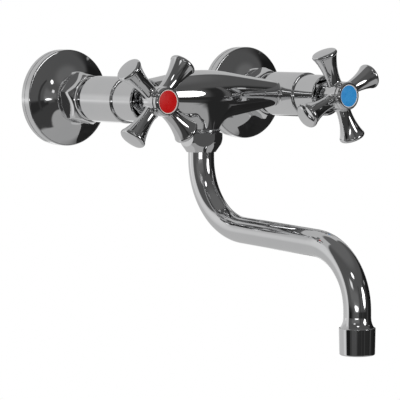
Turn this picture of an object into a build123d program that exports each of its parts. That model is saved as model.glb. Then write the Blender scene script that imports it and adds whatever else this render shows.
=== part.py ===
from build123d import *
import os
from math import cos, radians, sin, tan

# Wall-mounted two-handle kitchen mixer tap, in millimetres.
# The wall is the plane Y = 0 and the tap stands out towards -Y, with +Z up.
# The origin lies on the wall, midway between the two inlets.
# A depth is a distance out from the wall, so it is measured along -Y.

# Supply connections
inlet_centres = 150.0
supply_thread_radius = 10.48
supply_thread_length = 15.0
swivel_thread_radius = 13.22
waterway_radius = 7.5
connector_hex_flats = 22.0
connector_hex_start = 1.5
connector_hex_end = 8.0
connector_front = 29.0
connector_chamfer = 0.8
supply_angle = -11.0

# Clearances
thread_gap = 0.06
slide_gap = 0.15
running_gap = 0.05
ring_gap = 0.02
seal_gap = 0.4
end_gap = 0.5

# Wall flanges
flange_radius = 31.0
flange_foot = 3.0
flange_groove_width = 0.5
flange_groove_depth = 0.4
flange_rim_depth = 8.4
flange_rim_round = 0.8
flange_neck_radius = 16.0
flange_neck_round = 0.5
flange_height = 19.3
flange_wall = 1.4
# Which way the trumpet face leaves the rim and meets the neck: outwards, then forwards.
flange_foot_way = (-1, 0.36)
flange_top_way = (-0.5, 1)

# Union nuts, their seals and the collared inlet tails
union_nut_flats = 30.0
union_nut_length = 16.7
union_lip = 2.4
union_back_chamfer = 2.8
union_front_chamfer = 1.4
union_seal_thickness = 2.0
tail_collar_thickness = 2.6
tail_radius = 10.0
tail_bore_radius = 7.0
tail_socket_depth = 4.0

# Valve barrels of the body
barrel_gap = 3.2
barrel_length = 33.0
barrel_radius = 14.7
barrel_back_edge = 1.6
barrel_front_edge = 1.0
seat_wall = 2.0
seat_hole_radius = 5.5
chamber_radius = 9.0
headwork_thread_radius = 10.5
headwork_thread_depth = 15.2

# Cross arm and spout boss of the body
arm_inset = 12.3
arm_rise = 0.8
arm_end_radius = 8.7
arm_middle_radius = 16.5
arm_cone_start = 27.0
arm_cone_radius = 14.1
arm_bore_radius = 5.0
arm_fillet = 1.5
boss_radius = 11.8
boss_fillet = 8.0
boss_bead_radius = 12.6
boss_bead_top = 20.9
boss_bead_height = 2.2
boss_thread_radius = 10.9
boss_bottom = 29.5
boss_bore_radius = 9.0
boss_bore_top = 6.5
boss_channel_radius = 6.0

# Spout nut, thrust washer and retaining ring
spout_nut_flats = 24.6
spout_nut_cone_radius = 9.6
spout_nut_bottom = 36.0
spout_nut_shoulder = 32.0
spout_nut_chamfer = 1.0
spout_nut_chamfer_width = 2.0
spout_nut_cone_height = 8.6
thrust_washer_thickness = 0.6
retaining_ring_thickness = 1.4
retaining_groove_radius = 7.9
retaining_slot = 2.0
retaining_gap = 0.3

# Spout tube
spout_reach = 150.2
spout_radius = 8.5
spout_wall = 1.2
spout_slope = 2.66
spout_knee_drop = 82.6
spout_first_bend = 44.5
spout_second_bend = 39.0
spout_flare_top = 130.5
spout_flare_radius = 10.4
spout_shoulder = 137.0
spout_thread_radius = 10.0
spout_thread_length = 7.0

# Spout bush, held in the boss by the retaining ring
bush_top = 8.0
bush_bore_radius = 5.8
bush_spigot_length = 10.0
ring_groove_depths = (13.0, 20.0)
ring_section_radius = 0.89
ring_groove_width = 2.4

# Aerator
aerator_radius = 11.2
aerator_length = 16.7
aerator_taper = 0.35
aerator_lip = 1.3
aerator_mouth_radius = 8.7
aerator_edge = 1.0
aerator_top_edge = 0.4
aerator_seal_thickness = 1.4
screen_thickness = 0.8
screen_hole_radius = 0.75
screen_hole_spacing = 2.6
insert_floor = 2.0
insert_wall = 1.8
insert_port_circle = 5.4
insert_port_count = 8
insert_port_radius = 1.2

# Headwork: bonnet, gland nut and packing
bonnet_seal_thickness = 1.5
bonnet_hex_flats = 19.0
bonnet_hex_length = 5.0
headwork_hex_chamfer = 0.9
bonnet_neck_radius = 8.2
bonnet_neck_length = 5.5
packing_radius = 6.3
packing_depth = 5.0
packing_length = 4.0
gland_nut_flats = 17.0
gland_nut_length = 8.3
gland_nut_overlap = 4.0
gland_nut_angle = 15.0
spigot_gap = 0.1

# Shroud over the headwork
shroud_radius = 13.4
shroud_length = 19.0
shroud_wall = 1.7
shroud_lip = 1.6
shroud_edge = 0.8

# Spindle and jumper
spindle_stem_radius = 4.0
spindle_foot_radius = 6.0
spindle_foot_length = 15.5
spindle_drive_flats = 5.6
spindle_drive_length = 8.0
valve_lift = 4.5
jumper_plate_radius = 8.2
jumper_plate_thickness = 2.0
jumper_stem_radius = 3.0
jumper_stem_length = 9.0
jumper_stud_radius = 1.5
seat_washer_radius = 8.0
seat_washer_thickness = 3.0
jumper_nut_flats = 5.0
jumper_nut_thickness = 1.6

# Cross handles
handle_gap = 2.2
handle_neck_radius = 6.3
handle_neck_length = 2.4
handle_neck_bore = 2.8
handle_hub_radius = 9.3
handle_flare_length = 3.6
handle_hub_length = 12.2
handle_hub_round = 1.6
handle_web = 3.0
handle_drive_end = 0.3
arm_plane_offset = 5.0
arm_reach = 30.8
arm_root = 3.0
arm_root_radius = 4.9
arm_waist_radius = 4.75
arm_waist_reach = 13.5
arm_tip_radius = 8.55
arm_flare_slope = 0.42
arm_lip_length = 1.9
arm_lip_height = 0.3
arm_dome = 1.9
hot_handle_angle = 48.5
cold_handle_angle = 24.2
handle_arms = 4
handle_fillet = 1.5

# Handle screw, index cap and index disc
screw_radius = 1.95
screw_length = 9.5
screw_head_radius = 3.6
screw_head_height = 2.4
screw_socket_flats = 2.5
screw_socket_depth = 1.2
cap_spigot_radius = 6.6
cap_spigot_length = 2.6
cap_bore_radius = 4.2
cap_hollow = 1.0
cap_height = 3.4
cap_skirt = 1.3
cap_rim_radius = 8.1
cap_shoulder = 0.35
cap_recess = 1.5
disc_radius = 7.5
disc_thickness = 1.0
disc_dome = 0.45

os.makedirs("parts", exist_ok=True)


# Sizes that follow from the ones above
valve_offset = inlet_centres / 2
union_nut_front = flange_height + union_nut_length
union_seal_front = connector_front + union_seal_thickness
tail_collar_front = union_seal_front + tail_collar_thickness
barrel_back = union_nut_front + barrel_gap
barrel_front = barrel_back + barrel_length
arm_depth = barrel_back + arm_inset
tail_front = barrel_back + tail_socket_depth
seat_front = tail_front + seat_wall
headwork_thread_back = barrel_front - headwork_thread_depth
bonnet_back = headwork_thread_back + bonnet_seal_thickness
bonnet_hex_back = barrel_front + shroud_lip
bonnet_hex_front = bonnet_hex_back + bonnet_hex_length
bonnet_front = bonnet_hex_front + bonnet_neck_length
gland_nut_back = bonnet_front - gland_nut_overlap
gland_nut_front = gland_nut_back + gland_nut_length
shroud_front = barrel_front + shroud_length
packing_back = bonnet_front - packing_depth
packing_front = packing_back + packing_length
jumper_back = seat_front + seat_washer_thickness
jumper_front = jumper_back + jumper_plate_thickness
spindle_back = jumper_front + ring_gap
spindle_foot_front = spindle_back + spindle_foot_length
spindle_chamber_front = spindle_foot_front + valve_lift + end_gap
shroud_bore_radius = shroud_radius - shroud_wall
spout_bore_radius = spout_radius - spout_wall
spout_axis_depth = arm_depth + spout_reach
bush_radius = boss_bore_radius - running_gap
retaining_top = boss_bottom + retaining_gap
retaining_bottom = retaining_top + retaining_ring_thickness
aerator_bottom = spout_shoulder + aerator_length
spout_end = spout_shoulder + spout_thread_length
seal_bottom = spout_end + aerator_seal_thickness
insert_bottom = aerator_bottom - aerator_lip
screen_top = insert_bottom - screen_thickness
handle_neck_back = gland_nut_front + handle_gap
handle_neck_front = handle_neck_back + handle_neck_length
handle_hub_start = handle_neck_front + handle_flare_length
handle_hub_front = handle_hub_start + handle_hub_length
arm_plane_depth = handle_hub_start + arm_plane_offset
spindle_drive_start = handle_neck_back + handle_neck_bore
spindle_front = spindle_drive_start + spindle_drive_length
screw_head_back = handle_hub_front - handle_web
cap_front = handle_hub_front + cap_height


def corner_radius(flats):
    """Distance from a hexagon's middle to its corners."""
    return flats / 2 / cos(radians(30))


def section_plane(x):
    """Plane through a valve's axis: its X is the radius and its Y the depth."""
    return Plane(origin=(x, 0, 0), x_dir=(1, 0, 0), z_dir=(0, 0, -1))


def depth_plane(x, depth):
    """Plane across a valve's axis, facing out from the wall at a depth."""
    return Plane(origin=(x, -depth, 0), x_dir=(1, 0, 0), z_dir=(0, -1, 0))


def valve_axis(x):
    return Axis((x, 0, 0), (0, -1, 0))


def spout_section(depth):
    """Upright plane through an axis of the spout: X is the radius and Y is the height."""
    return Plane(origin=(0, -depth, 0), x_dir=(1, 0, 0), z_dir=(0, -1, 0))


def upright_axis(depth):
    return Axis((0, -depth, 0), (0, 0, 1))


def outline(plane, points):
    """Closed straight-sided outline drawn on a plane."""
    with BuildSketch(plane) as drawn:
        with BuildLine():
            Polyline(*points, close=True)
        make_face()
    return drawn.sketch


def ring_outline(plane, inner, outer, start, end):
    """Rectangular section of a turned ring."""
    return outline(plane, [(inner, start), (outer, start), (outer, end), (inner, end)])


def hexagon(plane, flats, rotation=0):
    with BuildSketch(plane) as drawn:
        RegularPolygon(corner_radius(flats), 6, rotation=rotation)
    return drawn.sketch


def make_wall_flange(side, x):
    """Round wall plate: a grooved rim, and a trumpet-shaped face up to a short neck."""
    groove_front = flange_foot + flange_groove_width
    rim_edge = flange_rim_depth - flange_rim_round
    face_radius = flange_radius - flange_rim_round
    inner_radius = flange_radius - flange_wall - flange_groove_depth
    inner_depth = flange_rim_depth - flange_wall
    bore = swivel_thread_radius + slide_gap
    neck_start = flange_height - flange_wall
    neck_inner = flange_neck_radius - flange_wall
    inner_top_way = tuple(-part for part in flange_top_way)
    inner_foot_way = tuple(-part for part in flange_foot_way)
    with BuildPart() as flange:
        with BuildSketch(section_plane(x)):
            with BuildLine():
                Polyline(
                    (inner_radius, 0),
                    (flange_radius, 0),
                    (flange_radius, flange_foot),
                    (flange_radius - flange_groove_depth, flange_foot),
                    (flange_radius - flange_groove_depth, groove_front),
                    (flange_radius, groove_front),
                    (flange_radius, rim_edge),
                )
                TangentArc((flange_radius, rim_edge), (face_radius, flange_rim_depth), tangent=(0, 1))
                Spline(
                    (face_radius, flange_rim_depth),
                    (flange_neck_radius, neck_start),
                    tangents=[flange_foot_way, flange_top_way],
                )
                Line(
                    (flange_neck_radius, neck_start),
                    (flange_neck_radius, flange_height - flange_neck_round),
                )
                TangentArc(
                    (flange_neck_radius, flange_height - flange_neck_round),
                    (flange_neck_radius - flange_neck_round, flange_height),
                    tangent=(0, 1),
                )
                Polyline(
                    (flange_neck_radius - flange_neck_round, flange_height),
                    (bore, flange_height),
                    (bore, neck_start - flange_wall),
                    (neck_inner, neck_start - flange_wall),
                )
                Spline(
                    (neck_inner, neck_start - flange_wall),
                    (inner_radius, inner_depth),
                    tangents=[inner_top_way, inner_foot_way],
                )
                Line((inner_radius, inner_depth), (inner_radius, 0))
            make_face()
        revolve(axis=valve_axis(x))
    flange.part.label = f"{side}_wall_flange"
    export_step(flange.part, f"parts/{side}_wall_flange.step")


def make_wall_connector(side, x):
    """Straight connector: a tail for the supply pipe, a hexagon and the union nut's thread."""
    plane = section_plane(x)
    with BuildPart() as connector:
        tail = ring_outline(
            plane, waterway_radius, supply_thread_radius, -supply_thread_length, connector_hex_start
        )
        revolve(tail, axis=valve_axis(x))
        barrel = ring_outline(
            plane, waterway_radius, swivel_thread_radius, connector_hex_end, connector_front
        )
        revolve(barrel, axis=valve_axis(x))
        hex_back = depth_plane(x, connector_hex_start)
        extrude(hexagon(hex_back, connector_hex_flats), connector_hex_end - connector_hex_start)
        with BuildSketch(hex_back):
            Circle(waterway_radius)
        extrude(amount=connector_hex_end - connector_hex_start, mode=Mode.SUBTRACT)
        turned_edges = connector.edges().filter_by(GeomType.CIRCLE).sort_by(Axis.Y)
        outer_edges = turned_edges.filter_by(lambda edge: edge.radius > waterway_radius)
        chamfer([outer_edges[0], outer_edges[-1]], connector_chamfer)
    connector.part.label = f"{side}_wall_connector"
    export_step(connector.part, f"parts/{side}_wall_connector.step")


def make_union_nut(side, x):
    """Hexagon nut with both ends turned off to a cone, and a lip that pulls on the tail's collar."""
    corner = corner_radius(union_nut_flats)
    thread = swivel_thread_radius + thread_gap
    lip_radius = tail_radius + slide_gap
    front = union_nut_front
    face_radius = union_nut_flats / 2
    with BuildPart() as nut:
        extrude(hexagon(depth_plane(x, flange_height), union_nut_flats, supply_angle), union_nut_length)
        body = outline(
            section_plane(x),
            [
                (thread, flange_height),
                (face_radius, flange_height),
                (corner, flange_height + union_back_chamfer),
                (corner, front - union_front_chamfer),
                (face_radius, front),
                (lip_radius, front),
                (lip_radius, front - union_lip),
                (thread, front - union_lip),
            ],
        )
        revolve(body, axis=valve_axis(x), mode=Mode.INTERSECT)
    nut.part.label = f"{side}_union_nut"
    export_step(nut.part, f"parts/{side}_union_nut.step")


def make_union_seal(side, x):
    """Flat sealing washer between the connector and the tail's collar."""
    inner = waterway_radius + seal_gap
    outer = swivel_thread_radius - seal_gap
    with BuildPart() as seal:
        section = ring_outline(section_plane(x), inner, outer, connector_front, union_seal_front)
        revolve(section, axis=valve_axis(x))
    seal.part.label = f"{side}_union_seal"
    export_step(seal.part, f"parts/{side}_union_seal.step")


def make_inlet_tail(side, x):
    """Collared nipple: the union nut pulls on its collar, and its shank is fixed in the body."""
    collar = swivel_thread_radius - slide_gap
    with BuildPart() as tail:
        section = outline(
            section_plane(x),
            [
                (tail_bore_radius, union_seal_front),
                (collar, union_seal_front),
                (collar, tail_collar_front),
                (tail_radius, tail_collar_front),
                (tail_radius, tail_front),
                (tail_bore_radius, tail_front),
            ],
        )
        revolve(section, axis=valve_axis(x))
    tail.part.label = f"{side}_inlet_tail"
    export_step(tail.part, f"parts/{side}_inlet_tail.step")


def make_mixer_body():
    """Cast body: a swelling cross arm between two valve barrels, with the spout's boss below it."""
    arm_middle = (0, -arm_depth, arm_rise)
    arm_end = valve_offset - barrel_radius
    arm_slope = (arm_end_radius - arm_cone_radius) / (arm_end - arm_cone_start)
    cone_end_radius = arm_end_radius + arm_slope * barrel_radius
    fillet_room = arm_inset - arm_end_radius - barrel_back_edge
    boss_plane = spout_section(arm_depth)
    with BuildPart() as body:
        for way in (1, -1):
            half_plane = Plane(origin=arm_middle, x_dir=(way, 0, 0), z_dir=(0, -way, 0))
            with BuildSketch(half_plane):
                with BuildLine():
                    Line((0, 0), (0, arm_middle_radius))
                    Spline(
                        (0, arm_middle_radius),
                        (arm_cone_start, arm_cone_radius),
                        tangents=[(1, 0), (1, arm_slope)],
                    )
                    Line((arm_cone_start, arm_cone_radius), (valve_offset, cone_end_radius))
                    Line((valve_offset, cone_end_radius), (valve_offset, 0))
                    Line((valve_offset, 0), (0, 0))
                make_face()
            revolve(axis=Axis(arm_middle, (1, 0, 0)))
        with BuildSketch(Plane(origin=(0, -arm_depth, -boss_bead_top))):
            Circle(boss_radius)
        extrude(amount=boss_bead_top)
        waist = body.edges().filter_by(
            lambda edge: edge.geom_type not in (GeomType.LINE, GeomType.CIRCLE)
            and edge.bounding_box().max.Z < 0
            and abs(edge.center().X) < boss_radius
        )
        fillet(waist, boss_fillet)
        bead_bottom = -boss_bead_top - boss_bead_height
        with BuildSketch(boss_plane):
            with BuildLine():
                Line((0, -boss_bead_top), (boss_radius, -boss_bead_top))
                ThreePointArc(
                    (boss_radius, -boss_bead_top),
                    (boss_bead_radius, (bead_bottom - boss_bead_top) / 2),
                    (boss_radius, bead_bottom),
                )
                Line((boss_radius, bead_bottom), (0, bead_bottom))
                Line((0, bead_bottom), (0, -boss_bead_top))
            make_face()
        revolve(axis=upright_axis(arm_depth))
        thread = ring_outline(boss_plane, 0, boss_thread_radius, -boss_bottom, bead_bottom)
        revolve(thread, axis=upright_axis(arm_depth))
        for x in (-valve_offset, valve_offset):
            with BuildSketch(section_plane(x)):
                with BuildLine():
                    Polyline(
                        (0, barrel_back),
                        (barrel_radius, barrel_back),
                        (barrel_radius, barrel_front),
                        (0, barrel_front),
                        close=True,
                    )
                make_face()
                rim = vertices().group_by(Axis.X)[-1].sort_by(Axis.Y)
                fillet(rim[0], barrel_back_edge)
                rim = vertices().group_by(Axis.X)[-1].sort_by(Axis.Y)
                fillet(rim[-1], barrel_front_edge)
            revolve(axis=valve_axis(x))
        arm_ends = body.edges().filter_by(
            lambda edge: edge.geom_type not in (GeomType.LINE, GeomType.CIRCLE)
            and abs(abs(edge.center().X) - valve_offset) < barrel_radius
        )
        fillet(arm_ends, min(arm_fillet, 0.9 * fillet_room))
        for x in (-valve_offset, valve_offset):
            chamber = outline(
                section_plane(x),
                [
                    (0, barrel_back),
                    (tail_radius, barrel_back),
                    (tail_radius, tail_front),
                    (seat_hole_radius, tail_front),
                    (seat_hole_radius, seat_front),
                    (chamber_radius, seat_front),
                    (chamber_radius, headwork_thread_back),
                    (headwork_thread_radius, headwork_thread_back),
                    (headwork_thread_radius, barrel_front),
                    (0, barrel_front),
                ],
            )
            revolve(chamber, axis=valve_axis(x), mode=Mode.SUBTRACT)
        bore_start = (-valve_offset, -arm_depth, arm_rise)
        with BuildSketch(Plane(origin=bore_start, x_dir=(0, 1, 0), z_dir=(1, 0, 0))):
            Circle(arm_bore_radius)
        extrude(amount=2 * valve_offset, mode=Mode.SUBTRACT)
        boss_bore = outline(
            boss_plane,
            [
                (0, arm_rise),
                (boss_channel_radius, arm_rise),
                (boss_channel_radius, -boss_bore_top),
                (boss_bore_radius, -boss_bore_top),
                (boss_bore_radius, -boss_bottom),
                (0, -boss_bottom),
            ],
        )
        revolve(boss_bore, axis=upright_axis(arm_depth), mode=Mode.SUBTRACT)
    body.part.label = "mixer_body"
    export_step(body.part, "parts/mixer_body.step")


def make_spout_nut():
    """Hexagon nut whose lower half is turned to a cone, so each flat ends in a curved edge."""
    top = -boss_bead_top - boss_bead_height
    corner = corner_radius(spout_nut_flats)
    thread = boss_thread_radius + thread_gap
    cone_top = -spout_nut_bottom + spout_nut_cone_height
    tube_hole = spout_radius + slide_gap
    with BuildPart() as nut:
        blank = Plane(origin=(0, -arm_depth, -spout_nut_bottom))
        extrude(hexagon(blank, spout_nut_flats, 30), spout_nut_bottom + top)
        with BuildSketch(spout_section(arm_depth)):
            with BuildLine():
                Line((thread, top), (corner - spout_nut_chamfer_width, top))
                Line((corner - spout_nut_chamfer_width, top), (corner, top - spout_nut_chamfer))
                Line((corner, top - spout_nut_chamfer), (corner, cone_top))
                Spline(
                    (corner, cone_top),
                    (spout_nut_cone_radius, -spout_nut_bottom),
                    tangents=[(-0.15, -1), (-0.62, -1)],
                )
                Line((spout_nut_cone_radius, -spout_nut_bottom), (tube_hole, -spout_nut_bottom))
                Line((tube_hole, -spout_nut_bottom), (tube_hole, -spout_nut_shoulder))
                Line((tube_hole, -spout_nut_shoulder), (thread, -spout_nut_shoulder))
                Line((thread, -spout_nut_shoulder), (thread, top))
            make_face()
        revolve(axis=upright_axis(arm_depth), mode=Mode.INTERSECT)
    nut.part.label = "spout_nut"
    export_step(nut.part, "parts/spout_nut.step")


def make_thrust_washer():
    """Low-friction washer on which the spout turns."""
    top = -spout_nut_shoulder + thrust_washer_thickness
    with BuildPart() as washer:
        section = ring_outline(
            spout_section(arm_depth),
            spout_radius + slide_gap,
            boss_thread_radius - slide_gap,
            -spout_nut_shoulder,
            top,
        )
        revolve(section, axis=upright_axis(arm_depth))
    washer.part.label = "spout_thrust_washer"
    export_step(washer.part, "parts/spout_thrust_washer.step")


def make_retaining_ring():
    """Split ring sprung into the bush's groove: it keeps the spout in its boss."""
    outer = boss_thread_radius - slide_gap
    with BuildPart() as ring:
        section = ring_outline(
            spout_section(arm_depth), retaining_groove_radius, outer, -retaining_bottom, -retaining_top
        )
        revolve(section, axis=upright_axis(arm_depth))
        with BuildSketch(Plane(origin=(0, -arm_depth + outer / 2, -retaining_bottom))):
            Rectangle(retaining_slot, outer)
        extrude(amount=retaining_ring_thickness, mode=Mode.SUBTRACT)
    ring.part.label = "spout_retaining_ring"
    export_step(ring.part, "parts/spout_retaining_ring.step")


def make_spout_bush():
    """Turned bush in the boss's bore, with two seal grooves and a spigot fixed in the tube."""
    groove = boss_bore_radius - ring_gap - 2 * ring_section_radius - ring_gap
    points = [(bush_bore_radius, -bush_top), (bush_radius, -bush_top)]
    for depth in ring_groove_depths:
        half = ring_groove_width / 2
        points += [
            (bush_radius, -depth + half),
            (groove, -depth + half),
            (groove, -depth - half),
            (bush_radius, -depth - half),
        ]
    points += [
        (bush_radius, -retaining_top),
        (retaining_groove_radius, -retaining_top),
        (retaining_groove_radius, -retaining_bottom),
        (spout_radius, -retaining_bottom),
        (spout_radius, -spout_nut_shoulder),
        (spout_bore_radius, -spout_nut_shoulder),
        (spout_bore_radius, -spout_nut_shoulder - bush_spigot_length),
        (bush_bore_radius, -spout_nut_shoulder - bush_spigot_length),
    ]
    with BuildPart() as bush:
        revolve(outline(spout_section(arm_depth), points), axis=upright_axis(arm_depth))
    bush.part.label = "spout_bush"
    export_step(bush.part, "parts/spout_bush.step")


def make_spout_o_rings():
    """Two seals in the bush's grooves."""
    middle = boss_bore_radius - ring_gap - ring_section_radius
    with BuildPart() as rings:
        for depth in ring_groove_depths:
            with BuildSketch(spout_section(arm_depth)):
                with Locations((middle, -depth)):
                    Circle(ring_section_radius)
            revolve(axis=upright_axis(arm_depth))
    rings.part.label = "spout_o_rings"
    export_step(rings.part, "parts/spout_o_rings.step")


def make_spout_tube():
    """Bent tube: down from the boss, out along a slight fall, and down to a flared threaded end."""
    fall = spout_reach * tan(radians(spout_slope))
    start = (0, -arm_depth, -spout_nut_shoulder)
    knee = (0, -arm_depth, -spout_knee_drop)
    elbow = (0, -spout_axis_depth, -spout_knee_drop - fall)
    end = (0, -spout_axis_depth, -spout_flare_top)
    flare = spout_section(spout_axis_depth)
    with BuildPart() as tube:
        with BuildLine() as route:
            FilletPolyline(start, knee, elbow, end, radius=[spout_first_bend, spout_second_bend])
        with BuildSketch(Plane(origin=start, x_dir=(1, 0, 0), z_dir=(0, 0, -1))):
            Circle(spout_radius)
            Circle(spout_bore_radius, mode=Mode.SUBTRACT)
        sweep(path=route.line)
        with BuildSketch(flare):
            with BuildLine():
                Line((spout_bore_radius, -spout_flare_top), (spout_radius, -spout_flare_top))
                Spline(
                    (spout_radius, -spout_flare_top),
                    (spout_flare_radius, -spout_shoulder),
                    tangents=[(0, -1), (0.7, -1)],
                )
                Line((spout_flare_radius, -spout_shoulder), (spout_thread_radius, -spout_shoulder))
                Line((spout_thread_radius, -spout_shoulder), (spout_thread_radius, -spout_end))
                Line((spout_thread_radius, -spout_end), (spout_bore_radius, -spout_end))
                Line((spout_bore_radius, -spout_end), (spout_bore_radius, -spout_flare_top))
            make_face()
        revolve(axis=upright_axis(spout_axis_depth))
    tube.part.label = "spout_tube"
    export_step(tube.part, "parts/spout_tube.step")


def make_aerator_housing():
    """Slightly tapered sleeve that screws on the spout's end and holds the insert on its lip."""
    thread = spout_thread_radius + thread_gap
    foot = aerator_radius - aerator_taper
    with BuildPart() as housing:
        section = outline(
            spout_section(spout_axis_depth),
            [
                (thread, -spout_shoulder),
                (aerator_radius, -spout_shoulder),
                (foot, -aerator_bottom),
                (aerator_mouth_radius, -aerator_bottom),
                (aerator_mouth_radius, -insert_bottom),
                (thread, -insert_bottom),
            ],
        )
        revolve(section, axis=upright_axis(spout_axis_depth))
        rims = housing.edges().filter_by(GeomType.CIRCLE).group_by(SortBy.RADIUS)
        fillet(rims[-1], aerator_top_edge)
        fillet(rims[-2], aerator_edge)
    housing.part.label = "aerator_housing"
    export_step(housing.part, "parts/aerator_housing.step")


def make_aerator_seal():
    """Flat seal between the spout's end and the insert."""
    with BuildPart() as seal:
        section = ring_outline(
            spout_section(spout_axis_depth),
            spout_bore_radius,
            spout_thread_radius - ring_gap,
            -seal_bottom,
            -spout_end,
        )
        revolve(section, axis=upright_axis(spout_axis_depth))
    seal.part.label = "aerator_seal"
    export_step(seal.part, "parts/aerator_seal.step")


def make_aerator_insert():
    """Cup with a ring of ports through its floor."""
    outer = spout_thread_radius - ring_gap
    inner = outer - insert_wall
    floor_top = -seal_bottom - insert_floor
    with BuildPart() as insert:
        section = outline(
            spout_section(spout_axis_depth),
            [
                (0, -seal_bottom),
                (outer, -seal_bottom),
                (outer, -screen_top),
                (inner, -screen_top),
                (inner, floor_top),
                (0, floor_top),
            ],
        )
        revolve(section, axis=upright_axis(spout_axis_depth))
        with BuildSketch(Plane(origin=(0, -spout_axis_depth, floor_top))):
            with PolarLocations(insert_port_circle, insert_port_count):
                Circle(insert_port_radius)
        extrude(amount=insert_floor, mode=Mode.SUBTRACT)
    insert.part.label = "aerator_insert"
    export_step(insert.part, "parts/aerator_insert.step")


def make_aerator_screen():
    """Perforated disc at the mouth."""
    outer = spout_thread_radius - ring_gap
    with BuildPart() as screen:
        with BuildSketch(Plane(origin=(0, -spout_axis_depth, -insert_bottom))):
            Circle(outer)
            Circle(screen_hole_radius, mode=Mode.SUBTRACT)
            for ring in (1, 2):
                with PolarLocations(screen_hole_spacing * ring, 6 * ring):
                    Circle(screen_hole_radius, mode=Mode.SUBTRACT)
        extrude(amount=screen_thickness)
    screen.part.label = "aerator_screen"
    export_step(screen.part, "parts/aerator_screen.step")


def make_bonnet(side, x):
    """Headwork body: it screws into the barrel, guides the spindle and holds the packing."""
    plane = section_plane(x)
    hex_corner = corner_radius(bonnet_hex_flats)
    thread = headwork_thread_radius - thread_gap
    stem_bore = spindle_stem_radius + running_gap
    foot_bore = spindle_foot_radius + running_gap
    with BuildPart() as bonnet:
        extrude(hexagon(depth_plane(x, bonnet_hex_back), bonnet_hex_flats), bonnet_hex_length)
        hex_trim = outline(
            plane,
            [
                (0, bonnet_hex_back),
                (hex_corner, bonnet_hex_back),
                (hex_corner, bonnet_hex_front - headwork_hex_chamfer),
                (bonnet_hex_flats / 2, bonnet_hex_front),
                (0, bonnet_hex_front),
            ],
        )
        revolve(hex_trim, axis=valve_axis(x), mode=Mode.INTERSECT)
        threaded = ring_outline(plane, 0, thread, bonnet_back, bonnet_hex_back)
        revolve(threaded, axis=valve_axis(x))
        neck = ring_outline(plane, 0, bonnet_neck_radius, bonnet_hex_front, bonnet_front)
        revolve(neck, axis=valve_axis(x))
        bore = outline(
            plane,
            [
                (0, bonnet_back),
                (foot_bore, bonnet_back),
                (foot_bore, spindle_chamber_front),
                (stem_bore, spindle_chamber_front),
                (stem_bore, packing_back),
                (packing_radius, packing_back),
                (packing_radius, bonnet_front),
                (0, bonnet_front),
            ],
        )
        revolve(bore, axis=valve_axis(x), mode=Mode.SUBTRACT)
    bonnet.part.label = f"{side}_bonnet"
    export_step(bonnet.part, f"parts/{side}_bonnet.step")


def make_bonnet_seal(side, x):
    """Flat seal under the bonnet's end."""
    with BuildPart() as seal:
        section = ring_outline(
            section_plane(x),
            chamber_radius,
            headwork_thread_radius - thread_gap,
            headwork_thread_back,
            bonnet_back,
        )
        revolve(section, axis=valve_axis(x))
    seal.part.label = f"{side}_bonnet_seal"
    export_step(seal.part, f"parts/{side}_bonnet_seal.step")


def make_gland_packing(side, x):
    """Packing ring round the spindle's stem."""
    with BuildPart() as packing:
        section = ring_outline(
            section_plane(x),
            spindle_stem_radius + running_gap,
            packing_radius,
            packing_back,
            packing_front,
        )
        revolve(section, axis=valve_axis(x))
    packing.part.label = f"{side}_gland_packing"
    export_step(packing.part, f"parts/{side}_gland_packing.step")


def make_gland_nut(side, x):
    """Cap nut on the bonnet's neck, whose inner spigot presses on the packing."""
    corner = corner_radius(gland_nut_flats)
    back = gland_nut_back
    stem_bore = spindle_stem_radius + running_gap
    with BuildPart() as nut:
        blank = hexagon(depth_plane(x, back), gland_nut_flats, gland_nut_angle)
        extrude(blank, gland_nut_front - back)
        body = outline(
            section_plane(x),
            [
                (bonnet_neck_radius + thread_gap, back),
                (corner, back),
                (corner, gland_nut_front - headwork_hex_chamfer),
                (gland_nut_flats / 2, gland_nut_front),
                (stem_bore, gland_nut_front),
                (stem_bore, packing_front),
                (packing_radius - spigot_gap, packing_front),
                (packing_radius - spigot_gap, bonnet_front),
                (bonnet_neck_radius + thread_gap, bonnet_front),
            ],
        )
        revolve(body, axis=valve_axis(x), mode=Mode.INTERSECT)
    nut.part.label = f"{side}_gland_nut"
    export_step(nut.part, f"parts/{side}_gland_nut.step")


def make_shroud(side, x):
    """Open-fronted cover over the headwork, clamped between the barrel and the bonnet's hexagon."""
    lip_radius = headwork_thread_radius + thread_gap
    with BuildPart() as shroud:
        section = outline(
            section_plane(x),
            [
                (lip_radius, barrel_front),
                (shroud_radius, barrel_front),
                (shroud_radius, shroud_front),
                (shroud_bore_radius, shroud_front),
                (shroud_bore_radius, bonnet_hex_back),
                (lip_radius, bonnet_hex_back),
            ],
        )
        revolve(section, axis=valve_axis(x))
        mouth = shroud.edges().filter_by(GeomType.CIRCLE).group_by(Axis.Y)[0]
        fillet(mouth, shroud_edge)
    shroud.part.label = f"{side}_shroud"
    export_step(shroud.part, f"parts/{side}_shroud.step")


def make_jumper(side, x):
    """Valve plate: its stem slides in the spindle's foot and its stud carries the washer."""
    stem_front = jumper_front + jumper_stem_length
    stud_back = seat_front - jumper_nut_thickness
    with BuildPart() as jumper:
        section = outline(
            section_plane(x),
            [
                (0, stud_back),
                (jumper_stud_radius, stud_back),
                (jumper_stud_radius, jumper_back),
                (jumper_plate_radius, jumper_back),
                (jumper_plate_radius, jumper_front),
                (jumper_stem_radius, jumper_front),
                (jumper_stem_radius, stem_front),
                (0, stem_front),
            ],
        )
        revolve(section, axis=valve_axis(x))
    jumper.part.label = f"{side}_jumper"
    export_step(jumper.part, f"parts/{side}_jumper.step")


def make_seat_washer(side, x):
    """Rubber washer that closes on the seat."""
    with BuildPart() as washer:
        section = ring_outline(
            section_plane(x), jumper_stud_radius, seat_washer_radius, seat_front, jumper_back
        )
        revolve(section, axis=valve_axis(x))
    washer.part.label = f"{side}_seat_washer"
    export_step(washer.part, f"parts/{side}_seat_washer.step")


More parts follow.
